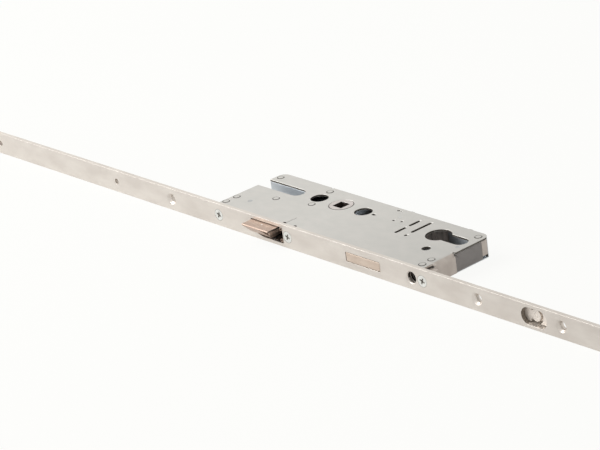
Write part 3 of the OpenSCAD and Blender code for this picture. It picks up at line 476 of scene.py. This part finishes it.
# Near white, as pale as the studio, a painted highlight: a pin or burr shows as one bright
# dot.
white_glint = metal_finish(
    "painted_white_glint", dark="#f6f2ec", light="#fcf9f4",
    metallic=0.1, roughness=0.3, cloud_mm=2, relief_mm=0.8, relief_height_mm=0.005)
NOSE_DEPTH = 0.6
NOSE_UNDER_TOP = (2.4, 1.4)
NOSE_GRIND = 0.9
HOLLOW_LENGTH = 8.6
ROOF_THICKNESS = 1.9
ROOF_SLACK = 0.2
RIB = (-18.1, -16.7)
RIB_FOOT = -0.2
OUTER_END_LEAN = 0.9
END_DEPTH = 0.3
END_LEAN = 0.4
latch_low, latch_high = (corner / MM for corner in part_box("latch_bolt"))
latch = clean_copy("latch_bolt", "bevelled_latch_bolt", warm_sinter)
nose_edge_low, nose_edge_high = (latch_high.z - depth for depth in NOSE_UNDER_TOP)
for point in latch.data.vertices:
    place = point.co / MM
    if place.y < latch_low.y + NOSE_DEPTH and nose_edge_low < place.z < nose_edge_high:
        point.co.z += NOSE_GRIND * MM
ease_edges(latch, edge_mm=0.18, sharp_degrees=30)
hollow_x = latch_high.x - HOLLOW_LENGTH
hollow_top = latch_high.z - ROOF_THICKNESS
# Painted shade in the hollow and on the end face next to the spindle.
paint_faces(
    latch, hollow_shade,
    lambda centre, normal: centre.x > hollow_x and centre.z < hollow_top + ROOF_SLACK
    and normal.x < OUTER_END_LEAN
    and not (RIB[0] < centre.x < RIB[1] and centre.z > RIB_FOOT))
paint_faces(
    latch, hollow_shade,
    lambda centre, normal: centre.x > latch_high.x - END_DEPTH and normal.x > END_LEAN)
fit(latch, "latch", "latch_metal", "latch_bolt")

DOME_FOOT = 0.05
DOME_SMOOTH = math.radians(40)


def small_dome(name, foot, radius_mm, rise_mm, material):
    """A shallow dome with the middle of its foot at a point, all in millimetres."""
    ball_mm = (radius_mm**2 + rise_mm**2) / (2 * rise_mm)
    bpy.ops.object.select_all(action="DESELECT")
    bpy.ops.mesh.primitive_uv_sphere_add(
        segments=20, ring_count=24, radius=ball_mm * MM,
        location=(foot[0] * MM, foot[1] * MM, (foot[2] + rise_mm - ball_mm) * MM))
    dome = bpy.context.object
    dome.name = name
    bpy.ops.object.transform_apply(location=True, rotation=True, scale=True)
    bpy.ops.object.mode_set(mode="EDIT")
    bpy.ops.mesh.select_all(action="SELECT")
    bpy.ops.mesh.bisect(
        plane_co=(0, 0, (foot[2] - DOME_FOOT) * MM), plane_no=(0, 0, 1),
        clear_inner=True, use_fill=True)
    bpy.ops.object.mode_set(mode="OBJECT")
    bpy.ops.object.shade_smooth_by_angle(angle=DOME_SMOOTH)
    dome.data.materials.append(material)
    return dome


STOP_PIN_FOOT = (-25.7, -47.7)
STOP_PIN_RADIUS = 0.65
STOP_PIN_RISE = 0.2
stop_pin = small_dome(
    "latch_stop_pin", (*STOP_PIN_FOOT, latch_high.z), STOP_PIN_RADIUS, STOP_PIN_RISE,
    white_glint)
fit(stop_pin, "latch", "rivet_steel")

PEGS = (("upper_gap_peg", -11.2, 3.9), ("lower_gap_peg", -11.3, -4.1))
PEG_RADIUS = 1.15
PEG_FRONT, PEG_FOOT = -44.5, -41.7
PEG_RIM = 0.45
PEG_BORE_DEPTH = 0.9
PEG_BORE_REACH = 0.8
PEG_RIM_DEPTH = 0.15
PEG_FACE_LEAN = -0.9
for peg_name, peg_x, peg_z in PEGS:
    bpy.ops.object.select_all(action="DESELECT")
    bpy.ops.mesh.primitive_cylinder_add(
        vertices=28, radius=PEG_RADIUS * MM, depth=(PEG_FOOT - PEG_FRONT) * MM,
        location=(peg_x * MM, (PEG_FRONT + PEG_FOOT) / 2 * MM, peg_z * MM),
        rotation=(math.pi / 2, 0, 0))
    peg = bpy.context.object
    peg.name = peg_name
    bpy.ops.object.transform_apply(location=True, rotation=True, scale=True)
    for item in (*peg.data.vertices, *peg.data.edges, *peg.data.polygons):
        item.select = False
    for face in peg.data.polygons:
        face.select = face.normal.y < PEG_FACE_LEAN
    bpy.ops.object.mode_set(mode="EDIT")
    bpy.ops.mesh.inset(thickness=PEG_RIM * MM)
    bpy.ops.mesh.extrude_region_move(
        TRANSFORM_OT_translate={"value": (0, PEG_BORE_DEPTH * MM, 0)})
    bpy.ops.object.mode_set(mode="OBJECT")
    peg.data.materials.append(warm_sinter)
    ease_edges(peg, edge_mm=0.12)
    # Painted shade in the peg's bore.
    paint_faces(
        peg, hollow_shade,
        lambda centre, normal: centre.y > PEG_FRONT + PEG_RIM_DEPTH
        and math.hypot(centre.x - peg_x, centre.z - peg_z) < PEG_BORE_REACH)
    fit(peg, "case", "latch_metal")
dress("latch_stem", bright_zinc)
dress("latch_pin", bright_zinc)
dress("latch_spring", inner_steel)

# Deadbolt
# A flat bolt of ground steel with a warm coat, flush with the faceplate while it
# is drawn back, and the pin that hangs into the slide's slot.
warm_ground_steel = metal_finish(
    "warm_ground_bolt_steel", dark="#c6b4a4", light="#cfbeaf",
    metallic=0.55, roughness=0.42, cloud_mm=6, cloud_stretch=(1.5, 1, 1),
    relief_mm=0.8, relief_stretch=(5, 1, 1), relief_height_mm=0.012)
deadbolt = eased_copy("deadbolt", "ground_deadbolt", warm_ground_steel, edge_mm=0.3)
fit(deadbolt, "deadbolt", "bolt_metal", "deadbolt")
dress("deadbolt_pin", bright_zinc)

# Drive slide
# A thin punched plate just above the tray's floor, with the block that the
# cylinder's cam enters and two rivets that join it to the rods.
dress("drive_slide", inner_steel)
dress("cam_block", inner_steel)
dress("slide_rivets", bright_zinc)

# Tumbler
# A brass lever on its post with a bent leaf spring behind it. The brass is dull
# and darkened by oil.
aged_brass = metal_finish(
    "oil_darkened_brass", dark="#7a6747", light="#8f7a55",
    metallic=0.8, roughness=0.4, cloud_mm=3, cloud_stretch=(1.5, 1, 1),
    relief_mm=0.8, relief_height_mm=0.015)
dress("tumbler_lever", aged_brass)
dress("tumbler_spring", inner_steel)

# Case cover
# The flat half of the case, blanked from satin zinc plated sheet, with a flange
# bent down over the lower end, a tab bent down for the middle screw with a round
# relief at each side, and punched slots for the guide bracket. Painted shade darkens
# the sheet toward its lower end and on the flange, and lies dark at the rims of the
# slots, in the reliefs and in the dimples.
# Painted shade: the zinc darkens by about a seventh from x 10 to 125 mm, toward the lower
# end.
cover_zinc = metal_finish(
    "satin_zinc_plated_sheet", dark="#c9c7c2", light="#cecbc6",
    metallic=0.75, roughness=0.42, cloud_mm=7, cloud_stretch=(1.5, 1, 1),
    relief_mm=1.6, relief_stretch=(1.5, 1, 1), relief_height_mm=0.012,
    painted_falloff=(10, 125, 0.86))
# Painted shade in the dimples a punch has pressed into the sheet: a little greyer and duller.
pressed_shade = metal_finish(
    "shaded_pressed_dimple", dark="#b0b1b1", light="#b9b9b8",
    metallic=0.7, roughness=0.45, cloud_mm=2, relief_mm=1.0, relief_height_mm=0.012)
COVER_TOP = 7.5
SHEET = 1.5
sheet_bottom = COVER_TOP - SHEET
cover_low, cover_high = (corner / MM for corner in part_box("case_cover"))
RELIEF_PLACES = ((-10.5, -41.1), (0.1, -41.1))
RELIEF_RADIUS = 0.95
RELIEF_CUT = 2.2
RELIEF_MIDDLE_Z = 6.95
cover = clean_copy("case_cover", "blanked_case_cover", cover_zinc)
for relief_x, relief_y in RELIEF_PLACES:
    bpy.ops.object.select_all(action="DESELECT")
    bpy.ops.mesh.primitive_cylinder_add(
        vertices=20, radius=RELIEF_RADIUS * MM, depth=RELIEF_CUT * MM,
        location=(relief_x * MM, relief_y * MM, RELIEF_MIDDLE_Z * MM))
    punch = bpy.context.object
    apply_modifier(
        cover, "relief_hole", "BOOLEAN", object=punch, operation="DIFFERENCE",
        solver="EXACT")
    select_only(punch)
    bpy.ops.object.delete()
ease_edges(cover, edge_mm=0.25)
EDGE_SKIN = 0.1
FLANGE_EDGE_Y = -15.3
FLANGE_SLACK = 0.2
FLANGE_REACH = 6
FLANGE_FACE = 4
HOLE_FIELD_Y = 14
HALF_HOLE_X = -26.7
HALF_HOLE_REACH = 1.3
END_STRIP = 1
FRONT_FIELD_Y = -40
TAB_FIELD = (66, 79)
TAB_FIELD_Y = -38
SLOT_FIELD_X = (60, 78)
SLOT_FIELD_Y = (-15, 12)
RIM_LEAN = 0.03


def is_at_tab(centre):
    """Whether a face lies in the stretch of the cover where its tab is bent down."""
    return cover_low.x + TAB_FIELD[0] < centre.x < cover_low.x + TAB_FIELD[1]


def is_punched_edge(centre, normal):
    """Upright faces of the cover's sheet, apart from its bent flange and outer edges."""
    upright = abs(normal.z) < WALL_LEAN
    in_sheet = sheet_bottom + EDGE_SKIN < centre.z < COVER_TOP - EDGE_SKIN
    in_flange = (
        centre.y < FLANGE_EDGE_Y + FLANGE_SLACK and centre.x > cover_high.x - FLANGE_REACH)
    outer_back = (
        centre.y > HOLE_FIELD_Y and abs(centre.x - HALF_HOLE_X) > HALF_HOLE_REACH)
    outer_end = centre.x < cover_low.x + END_STRIP
    outer_front = centre.y < FRONT_FIELD_Y and not is_at_tab(centre)
    return upright and in_sheet and not (in_flange or outer_back or outer_end or outer_front)


def is_slot_rim(centre, normal):
    """The eased rims of the slots and of the tab, painted dark as shade."""
    on_rim = centre.z > sheet_bottom + EDGE_SKIN and RIM_LEAN < abs(normal.z) < FLAT_LEAN
    in_slots = (
        SLOT_FIELD_X[0] < centre.x < SLOT_FIELD_X[1]
        and SLOT_FIELD_Y[0] < centre.y < SLOT_FIELD_Y[1])
    return on_rim and (in_slots or (is_at_tab(centre) and centre.y < TAB_FIELD_Y))


def is_near(centre, places, reach):
    """Whether a face lies within reach of one of some places on the cover."""
    return min(math.hypot(centre.x - x, centre.y - y) for x, y in places) < reach


RELIEF_REACH = 1.5
TOP_SKIN = 0.02
DIMPLES = ((-59.1, -28.8), (116.6, -7.1))
DIMPLE_REACH = 3
DIMPLE_Z = (7.1, 7.49)
DIMPLE_LEAN = 0.1
# The cover's punched edges: dull and oily, and painted dark as the shade along them.
paint_faces(cover, edge_oil_and_shade, is_punched_edge)
# Painted shade on the rims of the slots and of the tab.
paint_faces(cover, edge_oil_and_shade, is_slot_rim)
# Painted shade on the flange, which faces the lower end.
paint_faces(
    cover, end_face_shade_zinc,
    lambda centre, normal: centre.x > cover_high.x - FLANGE_FACE
    and centre.y < FLANGE_EDGE_Y + FLANGE_SLACK and normal.x > END_LEAN)
# Painted shade in the relief holes beside the tab.
paint_faces(
    cover, deep_hole_shade,
    lambda centre, normal: is_near(centre, RELIEF_PLACES, RELIEF_REACH)
    and centre.z < COVER_TOP - TOP_SKIN and abs(normal.z) < FLAT_LEAN)
# Painted shade in the pressed dimples.
paint_faces(
    cover, pressed_shade,
    lambda centre, normal: is_near(centre, DIMPLES, DIMPLE_REACH)
    and DIMPLE_Z[0] < centre.z < DIMPLE_Z[1] and normal.z > DIMPLE_LEAN)
fit(cover, "case", "cover_steel", "case_cover")

# Slot burrs
# Four tiny humps of steel that the punch has pushed up at the ends of the cover's
# slots and by a small hole. Each is painted near white as a highlight and shows as a white
# dot.
BURR_PLACES = ((65.0, -2.6), (65.8, 9.7), (74.8, 11.3), (75.0, -10.2))
BURR_RADIUS = 0.8
BURR_RISE = 0.35
for number, burr_place in enumerate(BURR_PLACES, 1):
    burr = small_dome(
        f"glint_burr_{number}", (*burr_place, COVER_TOP), BURR_RADIUS, BURR_RISE,
        white_glint)
    fit(burr, "case", "cover_steel")

# Pillars and cover studs
# Steel pillars between tray and cover and short studs under the cover. Their
# ends are spread into flush round heads, with painted shade in the seam round each, so each
# shows as a fine dark ring.
rivet_seam_shade = metal_finish(
    "painted_rivet_seam_shade", dark="#4f4b47", light="#6d6964",
    metallic=0.3, roughness=0.55, cloud_mm=2, relief_mm=0.8, relief_height_mm=0.02)
HEAD_EASE = 0.45
HEAD_RISE = 0.12
HEAD_SKIN = 0.1
for node_name, piece_name in (
        ("case_pillars", "riveted_pillars"), ("cover_studs", "riveted_cover_studs")):
    heads = eased_copy(node_name, piece_name, cover_zinc, edge_mm=HEAD_EASE, segments=3)
    for point in heads.data.vertices:
        if point.co.z > (COVER_TOP - HEAD_SKIN) * MM:
            point.co.z += HEAD_RISE * MM
    # Painted shade in the seam round each head.
    paint_faces(
        heads, rivet_seam_shade,
        lambda centre, normal: centre.z > COVER_TOP - HEAD_EASE - HEAD_SKIN
        and abs(normal.z) < FLAT_LEAN)
    fit(heads, "case", "rivet_steel", node_name)

# End panel
# A thin dark plate that closes the lower end of the case between the cover's
# flange and the corner. Its coat is an even dull grey, painted dark partly as the shade that
# falls on the lower end.
dark_coat_and_shade = metal_finish(
    "dark_coat_and_painted_shade", dark="#8b8683", light="#928d8a",
    metallic=0.15, roughness=0.55, cloud_mm=4, cloud_stretch=(1, 1.5, 1),
    relief_mm=1.0, relief_height_mm=0.012)
end_panel = eased_copy("end_panel", "phosphated_end_panel", dark_coat_and_shade, edge_mm=0.15)
fit(end_panel, "case", "panel_metal", "end_panel")

# Case screws
# Countersunk screws with a cross recess that hold the case to the faceplate.
# Their heads are bright from white zinc, and the recess and the eased rim of the head are
# painted grey as shade.
white_zinc = metal_finish(
    "white_zinc_screw_steel", dark="#d9d9d4", light="#e3e3de",
    metallic=0.6, roughness=0.34, cloud_mm=3, relief_mm=0.8, relief_height_mm=0.008)
recess_and_rim_shade = metal_finish(
    "painted_recess_and_rim_shade", dark="#a5a29c", light="#b3b0aa",
    metallic=0.5, roughness=0.5, cloud_mm=2, relief_mm=0.8, relief_height_mm=0.01)
screw_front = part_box("case_screws")[0].y / MM
RECESS_FROM, RECESS_TO = 0.25, 2
SEAM_TO = 0.14


def is_recess_or_seam(centre, normal):
    """The walls and floor of the cross recess, and the eased rim of the head."""
    in_recess = screw_front + RECESS_FROM < centre.y < screw_front + RECESS_TO
    in_seam = centre.y < screw_front + SEAM_TO
    return (in_recess and normal.y < WALL_LEAN) or (
        in_seam and -FLAT_LEAN < normal.y < -CONE_LEAN)


screws = eased_copy("case_screws", "cross_recess_screws", white_zinc, edge_mm=0.15)
# Painted shade in the cross recess and round the rim of the head.
paint_faces(screws, recess_and_rim_shade, is_recess_or_seam)
fit(screws, "case", "screw_steel", "case_screws")

# Studio
# The lock lies on a wide pale table in soft even light. The table and the air
# show white to the lens and in reflections, and the table still takes the shadow.
TABLE_Z = -8.1 * MM
TABLE_REACH = 6
TABLE_PAINT = "#f4f4f2"
BACKDROP_WHITE = "#fefefc"
WHITE_SHARE = 0.93
AIR_LIGHT = 0.4
bpy.ops.object.select_all(action="DESELECT")
bpy.ops.mesh.primitive_plane_add(size=2 * TABLE_REACH, location=(0, 0, TABLE_Z))
table = bpy.context.object
table.name = "table"


def seen_directly(tree):
    """1 for camera, glossy and transmission rays, else 0."""
    rays = add_node(tree, "ShaderNodeLightPath").outputs
    glossy = add_node(
        tree, "ShaderNodeMath",
        {0: rays["Is Camera Ray"], 1: rays["Is Glossy Ray"]}, operation="MAXIMUM")
    clear = add_node(
        tree, "ShaderNodeMath",
        {0: glossy.outputs[0], 1: rays["Is Transmission Ray"]}, operation="MAXIMUM")
    return clear.outputs[0]


table_white = bpy.data.materials.new("pale_table")
table_white.use_nodes = True
tree = table_white.node_tree
tree.nodes.clear()
paint = add_node(tree, "ShaderNodeBsdfDiffuse", inputs={"Color": linear(TABLE_PAINT)})
glow = add_node(
    tree, "ShaderNodeEmission", inputs={"Color": linear(BACKDROP_WHITE), "Strength": 1})
share = add_node(
    tree, "ShaderNodeMath", {0: seen_directly(tree)}, {1: WHITE_SHARE},
    operation="MULTIPLY")
mix = add_node(
    tree, "ShaderNodeMixShader",
    {0: share.outputs[0], 1: paint.outputs[0], 2: glow.outputs[0]})
add_node(tree, "ShaderNodeOutputMaterial", {"Surface": mix.outputs[0]})
table.data.materials.append(table_white)

air = bpy.data.worlds.new("studio_air")
air.use_nodes = True
tree = air.node_tree
tree.nodes.clear()
ambient = add_node(
    tree, "ShaderNodeBackground",
    inputs={"Color": linear("#ffffff"), "Strength": AIR_LIGHT})
backdrop = add_node(
    tree, "ShaderNodeBackground", inputs={"Color": linear(BACKDROP_WHITE), "Strength": 1})
mix = add_node(
    tree, "ShaderNodeMixShader",
    {0: seen_directly(tree), 1: ambient.outputs[0], 2: backdrop.outputs[0]})
add_node(tree, "ShaderNodeOutputWorld", {"Surface": mix.outputs[0]})
bpy.context.scene.world = air


def soft_lamp(name, place, size, watts):
    """A square soft box that faces the lock."""
    lamp_data = bpy.data.lights.new(name, "AREA")
    lamp_data.shape = "SQUARE"
    lamp_data.size = size
    lamp_data.energy = watts
    lamp = bpy.data.objects.new(name, lamp_data)
    bpy.context.scene.collection.objects.link(lamp)
    lamp.location = place
    lamp.rotation_euler = (-Vector(place)).to_track_quat("-Z", "Y").to_euler()


soft_lamp("upper_left_soft_box", place=(-1.05, -0.6, 1.25), size=1.1, watts=18)
soft_lamp("front_soft_box", place=(-1.1, -1.7, 1.0), size=1.5, watts=17)
soft_lamp("right_soft_box", place=(2.4, 0.2, 1.0), size=1.8, watts=2)

bpy.context.scene.view_settings.view_transform = "Standard"
